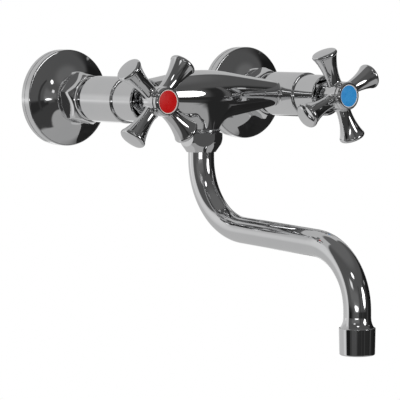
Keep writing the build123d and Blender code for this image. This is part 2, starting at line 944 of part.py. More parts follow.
def make_jumper_nut(side, x):
    """Small nut that holds the washer on the jumper."""
    plane = depth_plane(x, seat_front - jumper_nut_thickness)
    with BuildPart() as nut:
        extrude(hexagon(plane, jumper_nut_flats), jumper_nut_thickness)
        with BuildSketch(plane):
            Circle(jumper_stud_radius)
        extrude(amount=jumper_nut_thickness, mode=Mode.SUBTRACT)
    nut.part.label = f"{side}_jumper_nut"
    export_step(nut.part, f"parts/{side}_jumper_nut.step")


def make_spindle(side, x):
    """Rising spindle: a threaded foot bored for the jumper, a stem and a square drive end."""
    stem_hole = jumper_stem_radius + running_gap
    hole_front = jumper_front + jumper_stem_length + end_gap
    with BuildPart() as spindle:
        section = outline(
            section_plane(x),
            [
                (stem_hole, spindle_back),
                (spindle_foot_radius, spindle_back),
                (spindle_foot_radius, spindle_foot_front),
                (spindle_stem_radius, spindle_foot_front),
                (spindle_stem_radius, spindle_drive_start),
                (0, spindle_drive_start),
                (0, hole_front),
                (stem_hole, hole_front),
            ],
        )
        revolve(section, axis=valve_axis(x))
        with BuildSketch(depth_plane(x, spindle_drive_start)):
            Rectangle(spindle_drive_flats, spindle_drive_flats)
        extrude(amount=spindle_front - spindle_drive_start)
        with BuildSketch(depth_plane(x, screw_head_back - screw_length)):
            Circle(screw_radius)
        extrude(amount=screw_length, mode=Mode.SUBTRACT)
    spindle.part.label = f"{side}_spindle"
    export_step(spindle.part, f"parts/{side}_spindle.step")


def make_cross_handle(side, x, angle):
    """Cross handle: a turned hub with four trumpet-shaped arms that end in shallow domes."""
    neck_bore = spindle_stem_radius + slide_gap
    drive = spindle_drive_flats + 2 * running_gap
    cap_well = cap_spigot_radius + slide_gap
    lip_back = arm_reach - arm_lip_length
    lip_radius = arm_tip_radius - arm_lip_height
    shoulder = handle_hub_front - handle_hub_round
    with BuildPart() as handle:
        with BuildSketch(section_plane(x)):
            with BuildLine():
                Line((0, handle_neck_back), (handle_neck_radius, handle_neck_back))
                Line((handle_neck_radius, handle_neck_back), (handle_neck_radius, handle_neck_front))
                Spline(
                    (handle_neck_radius, handle_neck_front),
                    (handle_hub_radius, handle_hub_start),
                    tangents=[(0, 1), (0.25, 1)],
                )
                Line((handle_hub_radius, handle_hub_start), (handle_hub_radius, shoulder))
                TangentArc(
                    (handle_hub_radius, shoulder),
                    (handle_hub_radius - handle_hub_round, handle_hub_front),
                    tangent=(0, 1),
                )
                Line((handle_hub_radius - handle_hub_round, handle_hub_front), (0, handle_hub_front))
                Line((0, handle_hub_front), (0, handle_neck_back))
            make_face()
        revolve(axis=valve_axis(x))
        for turn in range(handle_arms):
            arm_angle = radians(angle + turn * 360 / handle_arms)
            outward = (cos(arm_angle), 0, sin(arm_angle))
            across = (-sin(arm_angle), 0, cos(arm_angle))
            centre = (x, -arm_plane_depth, 0)
            with BuildSketch(Plane(origin=centre, x_dir=outward, z_dir=(0, -1, 0))):
                with BuildLine():
                    Line((arm_root, 0), (arm_root, arm_root_radius))
                    Spline(
                        (arm_root, arm_root_radius),
                        (arm_waist_reach, arm_waist_radius),
                        (lip_back, lip_radius),
                        tangents=[(1, 0), (1, arm_flare_slope)],
                    )
                    SagittaArc((lip_back, lip_radius), (arm_reach, lip_radius), arm_lip_height)
                    TangentArc((arm_reach + arm_dome, 0), (arm_reach, lip_radius), tangent=(0, 1))
                    Line((arm_reach + arm_dome, 0), (arm_root, 0))
                make_face()
            revolve(axis=Axis(centre, outward))
        arm_roots = handle.edges().filter_by(
            lambda edge: edge.is_closed and edge.geom_type != GeomType.CIRCLE
        )
        fillet(arm_roots, handle_fillet)
        with BuildSketch(depth_plane(x, handle_neck_back)):
            Circle(neck_bore)
        extrude(amount=spindle_drive_start - handle_neck_back, mode=Mode.SUBTRACT)
        with BuildSketch(depth_plane(x, spindle_drive_start)):
            Rectangle(drive, drive)
        extrude(amount=spindle_front + handle_drive_end - spindle_drive_start, mode=Mode.SUBTRACT)
        with BuildSketch(depth_plane(x, spindle_front)):
            Circle(screw_radius + slide_gap)
        extrude(amount=handle_hub_front - spindle_front, mode=Mode.SUBTRACT)
        with BuildSketch(depth_plane(x, screw_head_back)):
            Circle(cap_well)
        extrude(amount=handle_hub_front - screw_head_back, mode=Mode.SUBTRACT)
    handle.part.label = f"{side}_cross_handle"
    export_step(handle.part, f"parts/{side}_cross_handle.step")


def make_handle_screw(side, x):
    """Socket screw that holds the handle on its spindle."""
    head_front = screw_head_back + screw_head_height
    with BuildPart() as screw:
        section = outline(
            section_plane(x),
            [
                (0, screw_head_back - screw_length),
                (screw_radius, screw_head_back - screw_length),
                (screw_radius, screw_head_back),
                (screw_head_radius, screw_head_back),
                (screw_head_radius, head_front),
                (0, head_front),
            ],
        )
        revolve(section, axis=valve_axis(x))
        extrude(
            hexagon(depth_plane(x, head_front), screw_socket_flats),
            -screw_socket_depth,
            mode=Mode.SUBTRACT,
        )
    screw.part.label = f"{side}_handle_screw"
    export_step(screw.part, f"parts/{side}_handle_screw.step")


def make_index_cap(side, x):
    """Bezel that plugs into the hub, with a rounded shoulder and a recess for the disc."""
    spigot_back = handle_hub_front - cap_spigot_length
    skirt_front = handle_hub_front + cap_skirt
    recess = disc_radius + running_gap
    with BuildPart() as cap:
        with BuildSketch(section_plane(x)):
            with BuildLine():
                Polyline(
                    (cap_bore_radius, spigot_back),
                    (cap_spigot_radius, spigot_back),
                    (cap_spigot_radius, handle_hub_front),
                    (handle_hub_radius, handle_hub_front),
                    (handle_hub_radius, skirt_front),
                )
                SagittaArc((handle_hub_radius, skirt_front), (cap_rim_radius, cap_front), -cap_shoulder)
                Polyline(
                    (cap_rim_radius, cap_front),
                    (recess, cap_front),
                    (recess, cap_front - cap_recess),
                    (0, cap_front - cap_recess),
                    (0, handle_hub_front + cap_hollow),
                    (cap_bore_radius, handle_hub_front + cap_hollow),
                    (cap_bore_radius, spigot_back),
                )
            make_face()
        revolve(axis=valve_axis(x))
    cap.part.label = f"{side}_index_cap"
    export_step(cap.part, f"parts/{side}_index_cap.step")


def make_index_disc(side, x):
    """Coloured disc with a slightly domed face."""
    back = cap_front - cap_recess
    front = back + disc_thickness
    with BuildPart() as disc:
        with BuildSketch(section_plane(x)):
            with BuildLine():
                Line((0, back), (disc_radius, back))
                Line((disc_radius, back), (disc_radius, front))
                TangentArc((0, front + disc_dome), (disc_radius, front), tangent=(1, 0))
                Line((0, front + disc_dome), (0, back))
            make_face()
        revolve(axis=valve_axis(x))
    disc.part.label = f"{side}_index_disc"
    export_step(disc.part, f"parts/{side}_index_disc.step")


make_mixer_body()
make_spout_nut()
make_thrust_washer()
make_retaining_ring()
make_spout_bush()
make_spout_o_rings()
make_spout_tube()
make_aerator_housing()
make_aerator_seal()
make_aerator_insert()
make_aerator_screen()

valves = [("hot", -valve_offset, hot_handle_angle), ("cold", valve_offset, cold_handle_angle)]
for side, x, handle_angle in valves:
    make_wall_flange(side, x)
    make_wall_connector(side, x)
    make_union_nut(side, x)
    make_union_seal(side, x)
    make_inlet_tail(side, x)
    make_bonnet(side, x)
    make_bonnet_seal(side, x)
    make_gland_packing(side, x)
    make_gland_nut(side, x)
    make_shroud(side, x)
    make_jumper(side, x)
    make_seat_washer(side, x)
    make_jumper_nut(side, x)
    make_spindle(side, x)
    make_cross_handle(side, x, handle_angle)
    make_handle_screw(side, x)
    make_index_cap(side, x)
    make_index_disc(side, x)
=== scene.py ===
from math import atan2, ceil, cos, pi, radians, sin, sqrt, tan, tau

import bmesh
import bpy
from mathutils import Matrix, Vector


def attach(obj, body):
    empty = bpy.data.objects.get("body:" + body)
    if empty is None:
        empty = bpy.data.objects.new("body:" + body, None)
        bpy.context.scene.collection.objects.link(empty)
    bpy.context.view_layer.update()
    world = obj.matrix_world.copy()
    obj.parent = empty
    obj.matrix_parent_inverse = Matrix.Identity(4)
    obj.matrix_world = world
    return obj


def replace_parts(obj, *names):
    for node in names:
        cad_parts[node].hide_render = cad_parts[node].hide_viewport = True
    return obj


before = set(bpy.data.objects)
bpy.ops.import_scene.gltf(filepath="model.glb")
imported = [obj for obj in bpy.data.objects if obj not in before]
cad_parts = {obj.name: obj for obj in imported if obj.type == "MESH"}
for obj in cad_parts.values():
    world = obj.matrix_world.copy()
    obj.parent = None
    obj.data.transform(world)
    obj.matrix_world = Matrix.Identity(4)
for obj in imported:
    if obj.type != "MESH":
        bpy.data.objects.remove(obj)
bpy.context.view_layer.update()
MM = 0.001

# Directions are given in degrees: azimuth 0 is straight in front of the tap and 90 is to its right,
# and elevation counts up from the horizon.

# The camera stands to the left of the tap, slightly above it, and looks along a long lens.
camera_azimuth = -39.03
camera_elevation = 4.27
camera_roll = -0.19
camera_distance = 1.6313
camera_lens = 225.88
camera_sensor = 36
camera_target = Vector((0.0, -0.060, -0.060))
camera_shift_right = -0.00617
camera_shift_up = -0.00700

# Light on matt surfaces: the white surroundings, and oval lamps that face the tap.
# Each lamp has its name, azimuth, elevation, width, height, and how bright its face looks.
ambient_level = 0.80
lamp_distance = 3.2
lamp_target = Vector((0.0, -0.060, -0.030))
lamps = [
    ("front_softbox", 21.5, 9.8, 1.16, 1.44, 3.0),
    ("left_softbox", -45, -3.2, 1.60, 0.24, 2.0),
    ("high_softbox", -34, 37.5, 0.80, 0.44, 2.0),
]

# Floor, and a black card close to the right of the tap, with its corners as y and z
floor_height = -1.05
floor_radius = 5.0
floor_sides = 96
floor_colours = ((0.80, 0.80, 0.80), (0.84, 0.84, 0.84))
floor_roughness = 0.8
floor_mottle_size = 0.35
floor_grain_size = 20 * MM
floor_grain_depth = 0.4 * MM
flag_x = 0.20
flag_corners = [(-0.24, -0.235), (0.12, -0.235), (0.12, -0.01), (-0.02, -0.01)]
flag_weave_size = 50 * MM
flag_levels = (0.016, 0.024)

# The room that mirrors show, and the patches painted on its wall, one over the other: azimuth and
# elevation of the middle, half width, half height, softness of the edge, and level. Level 1 is
# white, and a half width of 180 goes all round.
room_radius = 6.0
room_level = 0.092
room_patches = [
    (0, 90, 180, 38, 24, 0.140),      # ceiling
    (0, -25, 120, 20, 3, 0.050),      # dim lower half of the front
    (20, -10, 60, 5, 4, 0.026),       # dark skirting
    (0, -90, 180, 48, 6, 0.37),       # pale floor below the tap
    (61, -60, 54, 33, 3, 0.37),
    (74, -3, 40, 30, 9, 0.022),       # dark doorway on the right
    (90, 2, 20, 22, 8, 0.012),
    (-55, 8, 30, 9, 12, 0.150),       # glow round the left lamp
    (-46, -3, 19, 4, 8, 0.26),
    (180, 0, 66, 64, 5, 0.52),        # pale backdrop behind the tap
    (180, 2, 58, 11, 14, 0.64),
    (148, -12, 9, 12, 6, 0.95),
    (-127, -4, 9, 34, 10, 0.72),      # bright strip where the backdrop bends
    (-149, -4, 6, 2, 8, 1.00),
    (-60, -9, 15, 3, 9, 0.100),
    (-99, -10, 12, 4, 3, 0.012),      # dark edge of the backdrop
    (5, -8, 2, 12, 3, 0.055),
    (-62, 20, 7, 4, 4, 0.90),         # small far lamps
    (60, 20, 3, 2, 2, 0.60),
    (-14, 4, 2, 22, 2, 0.040),        # lamp stands
    (47, 4, 2, 24, 2, 0.110),
]

# The two valves: side, distance from the middle, and in degrees from the right, turning up,
# the first corner of the union nut and the first arm of the handle
valve_offset = 75 * MM
valves = [
    ("hot", -valve_offset, 165, 48.5),
    ("cold", valve_offset, 150, 24.2),
]

# Chrome: clouds of haze, hairlines left by polishing, and waves that only bend the reflections.
# The ranges say from where to where in the noise the haze and the hairlines come up.
chrome_tints = ((0.765, 0.77, 0.778), (0.80, 0.80, 0.805))
haze_size = 18 * MM
haze_range = (0.45, 0.75)
haze_roughness = (0.035, 0.085)
hairline_size = 0.6 * MM
hairline_stretch = (1, 30, 6)
hairline_range = (0.62, 0.80)
hairline_roughness = 0.05
hairline_depth = 0.0002 * MM
wave_size = 11 * MM
wave_depth = 0.012 * MM

# Turned metal, with rings round the valve's axis: two tints, and the least roughness
turned_metals = {
    "brass": ((0.66, 0.50, 0.24), (0.74, 0.60, 0.32), 0.24),
    "steel": ((0.58, 0.58, 0.57), (0.66, 0.66, 0.65), 0.28),
}
turning_size = 0.25 * MM
turning_stretch = (400, 1, 400)
turning_depth = 0.012 * MM
stain_size = 9 * MM
stain_roughness = 0.12

# Matt and satin stuffs: two tints, the middle roughness, and the size of the grain
soft_stuffs = {
    "rubber": ((0.022, 0.022, 0.022), (0.04, 0.04, 0.04), 0.62, 0.4 * MM),
    "fibre": ((0.24, 0.08, 0.05), (0.32, 0.12, 0.07), 0.70, 0.6 * MM),
    "white_plastic": ((0.80, 0.80, 0.77), (0.85, 0.85, 0.83), 0.38, 0.5 * MM),
}
soft_cloud_size = 6 * MM
grain_roughness = 0.08
grain_depth_share = 0.05

# Enamel of the index discs: place of the valve and two tints. Each disc has a pale edge that is partly its
# own rim and partly a painted highlight on its domed border.
enamels = {
    "red_disc": (-valve_offset, (0.46, 0.0, 0.0), (0.53, 0.002, 0.002)),
    "blue_disc": (valve_offset, (0.020, 0.23, 0.56), (0.035, 0.28, 0.62)),
}
enamel_gloss = 0.25
enamel_roughness = (0.22, 0.34)
enamel_cloud_size = 4 * MM
peel_size = 1.2 * MM
peel_depth = 0.006 * MM
# Pale edge of each disc, partly its own rim and partly a painted highlight: where it starts, how soft its
# inner edge is, and its colour
rim_and_highlight_radius = 6.95 * MM
rim_and_highlight_blend = 0.1 * MM
rim_and_highlight_colour = (0.86, 0.82, 0.78)

# Brass and steel parts of the valves that are plated where the mouth of the shroud shows them
plated_nodes = ("_bonnet", "_gland_nut", "_spindle")

# Wall connectors: depths run from the wall towards the front, and start behind the wall's face.
connector_back = -15 * MM
hexagon_back = 1.5 * MM
hexagon_front = 8.0 * MM
connector_front = 29.0 * MM
supply_thread_radius = 10.48 * MM
union_thread_radius = 13.22 * MM
hexagon_across = 22 * MM
waterway_radius = 7.5 * MM
thread_pitch = 1.814 * MM
thread_height = 1.162 * MM
thread_chamfer = 0.8 * MM
rings_per_pitch = 10
ring_sides = 72

# Union nuts: the face is where the hexagon ends and the round collar begins.
nut_across = 30 * MM
nut_back = 19.3 * MM
nut_face = 33.3 * MM
nut_front = 36.0 * MM
nut_back_chamfer = 2.8 * MM
nut_front_chamfer = 3.6 * MM
nut_edge_blend = 1.8 * MM
nut_ring_spacing = 0.3 * MM
nut_collar_radius = 13.9 * MM
nut_collar_bevel = 0.6 * MM
nut_lip = 2.4 * MM
nut_lip_radius = 10.15 * MM
nut_bore_radius = 13.28 * MM

# Flare that carries the underside of the cross arm down to the bead of the spout's boss
boss_axis_y = -51.5 * MM
boss_radius = 11.86 * MM
boss_inside_radius = 10.2 * MM
boss_inside_top = -12.0 * MM
boss_bead_top = -20.9 * MM
arm_rise = 0.8 * MM
arm_middle_radius = 16.5 * MM
arm_taper = 3.29                      # loss of radius per square of the way out, 1/m
flare_half_width = 24.0 * MM
flare_half_depth = 15.9 * MM
flare_squareness = 2.8                # 2 makes the rim an ellipse
flare_least_rise = 0.5 * MM
flare_slope_step = 0.1 * MM
flare_rim_sink = 0.08 * MM
flare_rim_depth = 1.0 * MM
flare_lean = 0.55                     # lean at the bead, as a share of the lean of the whole curve
flare_steps = 14
flare_sides = 96

# Rounded ends of the handle's arms, which stand out from the valve's axis at the handle's depth in
# front of the wall. Reaches count from that axis, and the section of the bead turns from behind
# the arm's end to its face, in degrees.
handle_depth = 101.8 * MM
handle_arms = 4
arm_cut_reach = 28.88 * MM
arm_end_back = 27.8 * MM
arm_end_back_radius = 7.0 * MM
arm_end_front = 31.9 * MM
arm_bead_reach = 29.5 * MM
arm_bead_centre = 6.80 * MM
arm_bead_radius = 1.7 * MM
arm_bead_first = -60
arm_bead_last = 78
arm_bead_steps = 14
arm_face_steps = 8
arm_end_sides = 72
weld_distance = 0.001 * MM

# Angle between faces, in degrees, that makes an edge sharp
sharp_angle = 45

# Range that noise mostly covers, and the places of the two colours and the result on a mix node
noise_range = (0.3, 0.7)
mix_first = 6
mix_second = 7
mix_result = 2


def direction(azimuth, elevation):
    """Unit vector from the tap."""
    a = radians(azimuth)
    e = radians(elevation)
    return Vector((sin(a) * cos(e), -cos(a) * cos(e), sin(e)))


def make_camera():
    back = direction(camera_azimuth, camera_elevation)
    right = Vector((cos(radians(camera_azimuth)), sin(radians(camera_azimuth)), 0))
    up = back.cross(right)
    target = camera_target + right * camera_shift_right + up * camera_shift_up
    turn = radians(camera_roll)
    rolled_right = right * cos(turn) + up * sin(turn)
    rolled_up = up * cos(turn) - right * sin(turn)
    place = Matrix((rolled_right, rolled_up, back)).transposed().to_4x4()
    place.translation = target + back * camera_distance
    data = bpy.data.cameras.new("camera")
    data.lens = camera_lens
    data.sensor_width = camera_sensor
    camera = bpy.data.objects.new("camera", data)
    bpy.context.scene.collection.objects.link(camera)
    camera.matrix_world = place
    bpy.context.scene.camera = camera


class Shade:
    """The nodes of one material, or of the surroundings, and the steps that they share."""

    def __init__(self, owner, output="ShaderNodeOutputMaterial"):
        owner.use_nodes = True
        self.owner = owner
        self.nodes = owner.node_tree.nodes
        self.links = owner.node_tree.links
        self.nodes.clear()
        self.output = self.nodes.new(output)
        self.place = None

    def feed(self, socket, value):
        """Links the output of another node to a socket, or sets the socket to a plain value."""
        if isinstance(value, bpy.types.NodeSocket):
            self.links.new(value, socket)
        else:
            socket.default_value = value

    def principled(self, **settings):
        """The shader of a surface. Its settings are named with _ for each space."""
        shader = self.nodes.new("ShaderNodeBsdfPrincipled")
        for name, value in settings.items():
            self.feed(shader.inputs[name.replace("_", " ")], value)
        self.links.new(shader.outputs[0], self.output.inputs["Surface"])
        return shader

    def glow(self, level):
        """Makes the surface shine at this level."""
        emission = self.nodes.new("ShaderNodeEmission")
        self.links.new(level, emission.inputs["Strength"])
        self.links.new(emission.outputs[0], self.output.inputs["Surface"])

    def object_place(self):
        """Coordinates in the tap's own frame."""
        if self.place is None:
            self.place = self.nodes.new("ShaderNodeTexCoord").outputs["Object"]
        return self.place

    def noise(self, size, detail, stretch=(1, 1, 1)):
        """Noise from 0 to 1 with features of this size, drawn out along the stretched axes."""
        mapping = self.nodes.new("ShaderNodeMapping")
        mapping.inputs["Scale"].default_value = tuple(1.0 / (size * factor) for factor in stretch)
        self.links.new(self.object_place(), mapping.inputs["Vector"])
        texture = self.nodes.new("ShaderNodeTexNoise")
        texture.inputs["Scale"].default_value = 1.0
        texture.inputs["Detail"].default_value = detail
        self.links.new(mapping.outputs["Vector"], texture.inputs["Vector"])
        return texture.outputs["Fac"]

    def spread(self, value, target=(0, 1), source=noise_range, ease="LINEAR"):
        """Maps the source range onto the target range, and stays within it."""
        step = self.nodes.new("ShaderNodeMapRange")
        step.interpolation_type = ease
        step.inputs["From Min"].default_value = source[0]
        step.inputs["From Max"].default_value = source[1]
        step.inputs["To Min"].default_value = target[0]
        step.inputs["To Max"].default_value = target[1]
        self.links.new(value, step.inputs["Value"])
        return step.outputs["Result"]

    def math(self, operation, *values):
        """One step of arithmetic on numbers and outputs of other nodes."""
        step = self.nodes.new("ShaderNodeMath")
        step.operation = operation
        for socket, value in zip(step.inputs, values):
            self.feed(socket, value)
        return step.outputs[0]

    def mix_colours(self, share, first, second):
        """Goes from the first colour to the second as the share goes from 0 to 1."""
        mix = self.nodes.new("ShaderNodeMix")
        mix.data_type = "RGBA"
        self.links.new(share, mix.inputs["Factor"])
        for index, colour in ((mix_first, first), (mix_second, second)):
            if isinstance(colour, tuple):
                colour = (*colour, 1)
            self.feed(mix.inputs[index], colour)
        return mix.outputs[mix_result]

    def bump(self, shader, *layers):
        """Stacks bump layers, each a height and its depth in metres."""
        normal = None
        for height, depth in layers:
            step = self.nodes.new("ShaderNodeBump")
            step.inputs["Distance"].default_value = depth
            self.links.new(height, step.inputs["Height"])
            if normal is not None:
                self.links.new(normal, step.inputs["Normal"])
            normal = step.outputs["Normal"]
        self.links.new(normal, shader.inputs["Normal"])


def make_world():
    """White behind everything that is seen directly or mirrored, and a soft even light otherwise."""
    world = bpy.data.worlds.new("world")
    bpy.context.scene.world = world
    shade = Shade(world, "ShaderNodeOutputWorld")
    path = shade.nodes.new("ShaderNodeLightPath")
    seen = shade.math("MAXIMUM", path.outputs["Is Camera Ray"], path.outputs["Is Glossy Ray"])
    clear = shade.math("MAXIMUM", seen, path.outputs["Is Transmission Ray"])
    background = shade.nodes.new("ShaderNodeBackground")
    background.inputs["Color"].default_value = (1, 1, 1, 1)
    shade.links.new(shade.spread(clear, (ambient_level, 1), (0, 1)), background.inputs["Strength"])
    shade.links.new(background.outputs[0], shade.output.inputs["Surface"])


def add_object(name, form, finish):
    """Turns a form into an object of the scene, with one finish."""
    mesh = bpy.data.meshes.new(name)
    form.to_mesh(mesh)
    form.free()
    mesh.materials.append(finish)
    made = bpy.data.objects.new(name, mesh)
    bpy.context.scene.collection.objects.link(made)
    return made


def show_only_in_mirrors(thing):
    thing.visible_camera = False
    thing.visible_diffuse = False
    thing.visible_shadow = False
    thing.visible_transmission = False


def make_room():
    """A round room that only mirrors show: a pale backdrop and floor, and a dim front with lamps."""
    shade = Shade(bpy.data.materials.new("room"))
    place = shade.nodes.new("ShaderNodeNewGeometry")
    aim = shade.nodes.new("ShaderNodeSeparateXYZ")
    shade.links.new(place.outputs["Position"], aim.inputs[0])
    to_degrees = 180 / pi
    front = shade.math("MULTIPLY", aim.outputs["Y"], -1)
    azimuth = shade.math("MULTIPLY", shade.math("ARCTAN2", aim.outputs["X"], front), to_degrees)
    height = shade.math("DIVIDE", aim.outputs["Z"], room_radius)
    elevation = shade.math("MULTIPLY", shade.math("ARCSINE", height), to_degrees)

    def inside(angle, middle, half, soft):
        """1 within half of the middle, fading to 0 across the soft edge."""
        apart = shade.math("WRAP", shade.math("SUBTRACT", angle, middle), 180, -180)
        away = shade.math("ABSOLUTE", apart)
        return shade.spread(away, (1, 0), (half - soft / 2, half + soft / 2), "SMOOTHSTEP")

    level = room_level
    for mid_azimuth, mid_elevation, half_width, half_height, soft, patch_level in room_patches:
        mask = inside(elevation, mid_elevation, half_height, soft)
        if half_width < 180:
            across = inside(azimuth, mid_azimuth, half_width, soft)
            mask = shade.math("MULTIPLY", across, mask)
        mix = shade.nodes.new("ShaderNodeMix")
        shade.feed(mix.inputs["Factor"], mask)
        shade.feed(mix.inputs["A"], level)
        shade.feed(mix.inputs["B"], patch_level)
        level = mix.outputs["Result"]
    shade.glow(level)

    shell = bmesh.new()
    bmesh.ops.create_icosphere(shell, subdivisions=5, radius=room_radius)
    room = add_object("room", shell, shade.owner)
    show_only_in_mirrors(room)


def make_floor():
    """Pale studio floor, below what the main view shows; mirrors show the room's floor instead."""
    shade = Shade(bpy.data.materials.new("floor"))
    mottle = shade.noise(floor_mottle_size, detail=3)
    pale = shade.mix_colours(shade.spread(mottle), *floor_colours)
    shader = shade.principled(Base_Color=pale, Roughness=floor_roughness)
    shade.bump(shader, (shade.noise(floor_grain_size, detail=2), floor_grain_depth))
    ring = bmesh.new()
    bmesh.ops.create_circle(ring, cap_ends=True, segments=floor_sides, radius=floor_radius)
    piece = add_object("floor", ring, shade.owner)
    piece.location.z = floor_height
    piece.visible_glossy = False


def make_flag():
    """Black card that keeps the underside of the body dark."""
    shade = Shade(bpy.data.materials.new("flag"))
    weave = shade.noise(flag_weave_size, detail=3)
    shade.glow(shade.spread(weave, flag_levels))
    sheet = bmesh.new()
    sheet.faces.new([sheet.verts.new((flag_x, y, z)) for y, z in flag_corners])
    flag = add_object("flag", sheet, shade.owner)
    show_only_in_mirrors(flag)


def make_lamp(name, azimuth, elevation, width, height, level):
    """Oval soft light; its level is how bright its face looks."""
    face_area = width * height * pi / 4
    data = bpy.data.lights.new(name, "AREA")
    data.shape = "ELLIPSE"
    data.size = width
    data.size_y = height
    data.energy = level * pi * face_area
    lamp = bpy.data.objects.new(name, data)
    aim = direction(azimuth, elevation)
    lamp.location = lamp_target + aim * lamp_distance
    lamp.rotation_euler = aim.to_track_quat("Z", "Y").to_euler()
    lamp.visible_camera = False
    bpy.context.scene.collection.objects.link(lamp)


def make_chrome():
    """Bright plating: a mirror with faint polishing waves, haze and hairlines."""
    shade = Shade(bpy.data.materials.new("chrome"))
    haze = shade.noise(haze_size, detail=4)
    hairlines = shade.noise(hairline_size, detail=1, stretch=hairline_stretch)
    waves = shade.noise(wave_size, detail=1)
    smear = shade.spread(haze, haze_roughness, haze_range)
    lines = shade.spread(hairlines, (0, hairline_roughness), hairline_range)
    shader = shade.principled(
        Metallic=1,
        Base_Color=shade.mix_colours(shade.spread(haze), *chrome_tints),
        Roughness=shade.math("ADD", smear, lines),
    )
    shade.bump(shader, (waves, wave_depth), (hairlines, hairline_depth))
    return shade.owner


def make_turned_metal(name, first, second, least_rough):
    """Lathe-turned metal with fine rings and faint stains."""
    shade = Shade(bpy.data.materials.new(name))
    rings = shade.noise(turning_size, detail=2, stretch=turning_stretch)
    stains = shade.noise(stain_size, detail=4)
    shader = shade.principled(
        Metallic=1,
        Base_Color=shade.mix_colours(shade.spread(stains), first, second),
        Roughness=shade.spread(stains, (least_rough, least_rough + stain_roughness)),
    )
    shade.bump(shader, (rings, turning_depth))
    return shade.owner


def make_soft(name, first, second, rough, grain):
    """Rubber, pressed fibre or moulded plastic, with a fine grain."""
    shade = Shade(bpy.data.materials.new(name))
    specks = shade.noise(grain, detail=3)
    clouds = shade.noise(soft_cloud_size, detail=3)
    shader = shade.principled(
        Base_Color=shade.mix_colours(shade.spread(clouds), first, second),
        Roughness=shade.spread(specks, (rough - grain_roughness, rough + grain_roughness)),
    )
    shade.bump(shader, (specks, grain * grain_depth_share))
    return shade.owner


def make_enamel(name, centre_x, first, second):
    """Glossy coloured disc with a pale edge, partly its own rim and partly a painted highlight, and a
    slight orange peel.
    """
    shade = Shade(bpy.data.materials.new(name))
    clouds = shade.noise(enamel_cloud_size, detail=3)
    peel = shade.noise(peel_size, detail=1)
    place = shade.nodes.new("ShaderNodeSeparateXYZ")
    shade.links.new(shade.object_place(), place.inputs[0])
    across = shade.math("SUBTRACT", place.outputs["X"], centre_x)
    wide = shade.math("MULTIPLY", across, across)
    high = shade.math("MULTIPLY", place.outputs["Z"], place.outputs["Z"])
    reach = shade.math("SQRT", shade.math("ADD", wide, high))
    # Pale edge beyond this radius, partly the disc's own rim and partly a painted highlight
    edge = shade.spread(reach, (0, 1), (rim_and_highlight_radius, rim_and_highlight_radius + rim_and_highlight_blend))
    colour = shade.mix_colours(shade.spread(clouds), first, second)
    shader = shade.principled(
        Specular_IOR_Level=enamel_gloss,
        Base_Color=shade.mix_colours(edge, colour, rim_and_highlight_colour),
        Roughness=shade.spread(clouds, enamel_roughness),
    )
    shade.bump(shader, (peel, peel_depth))
    return shade.owner


def thread_rings(back, front, radius, runs_out_at):
    """Rings of radii round a rounded thread: bevelled at its free end, and running out at the other."""
    count = ceil((front - back) / thread_pitch * rings_per_pitch)
    rings = []
    for index in range(count + 1):
        depth = back + (front - back) * index / count
        from_plain = abs(depth - runs_out_at)
        from_end = (front - back) - from_plain
        fade = min(1.0, from_plain / thread_pitch)
        bevel = radius - max(0.0, thread_chamfer - from_end)
        radii = []
        for side in range(ring_sides):
            turn = depth / thread_pitch - side / ring_sides
            groove = thread_height * fade * (0.5 - 0.5 * cos(tau * turn))
            radii.append(min(radius - groove, bevel))
        rings.append((depth, radii))
    return rings


def hexagon_radius(across, from_corner):
    """Radius of a hexagon, at an angle counted from one of its corners."""
    return across / 2 / cos(from_corner % (tau / 6) - pi / 6)


def add_piece(name, form, finish, body="root"):
    """Piece with smooth faces and sharp edges, made from closed forms, that rides on a body."""
    bmesh.ops.recalc_face_normals(form, faces=form.faces)
    piece = add_object(name, form, finish)
    piece.data.shade_smooth()
    piece.data.set_sharp_from_angle(angle=radians(sharp_angle))
    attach(piece, body)
    return piece


def add_ring_piece(name, centre_x, first_angle, rings, finish, replaced):
    """Closed piece round a valve's axis, made of rings of radii, in place of a plainer one."""
    form = bmesh.new()
    rows = []
    for depth, radii in rings:
        row = []
        for side, radius in enumerate(radii):
            angle = first_angle + tau * side / ring_sides
            row.append(form.verts.new((centre_x + radius * cos(angle), -depth, radius * sin(angle))))
        rows.append(row)
    for row, next_row in zip(rows, rows[1:] + rows[:1]):
        for side in range(ring_sides):
            after = (side + 1) % ring_sides
            form.faces.new((row[side], row[after], next_row[after], next_row[side]))
    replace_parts(add_piece(name, form, finish), replaced)


def make_wall_connector(side, centre_x):
    """Brass tail with a thread for the supply, a hexagon, a thread for the union nut, and a waterway."""
    hexagon = [hexagon_radius(hexagon_across, tau * step / ring_sides) for step in range(ring_sides)]
    waterway = [waterway_radius] * ring_sides
    rings = thread_rings(connector_back, hexagon_back, supply_thread_radius, hexagon_back)
    rings.append((hexagon_back, hexagon))
    rings.append((hexagon_front, hexagon))
    rings.extend(thread_rings(hexagon_front, connector_front, union_thread_radius, hexagon_front))
    rings.append((connector_front, waterway))
    rings.append((connector_back, waterway))
    add_ring_piece(side + "_threaded_connector", centre_x, 0.0, rings,
                   finishes["brass"], side + "_wall_connector")


def rounded_least(first, second, blend):
    """The smaller of two lengths, with the crease between them rounded."""
    share = min(1.0, max(0.0, 0.5 + (second - first) / (2 * blend)))
    return second + (first - second) * share - blend * share * (1 - share)


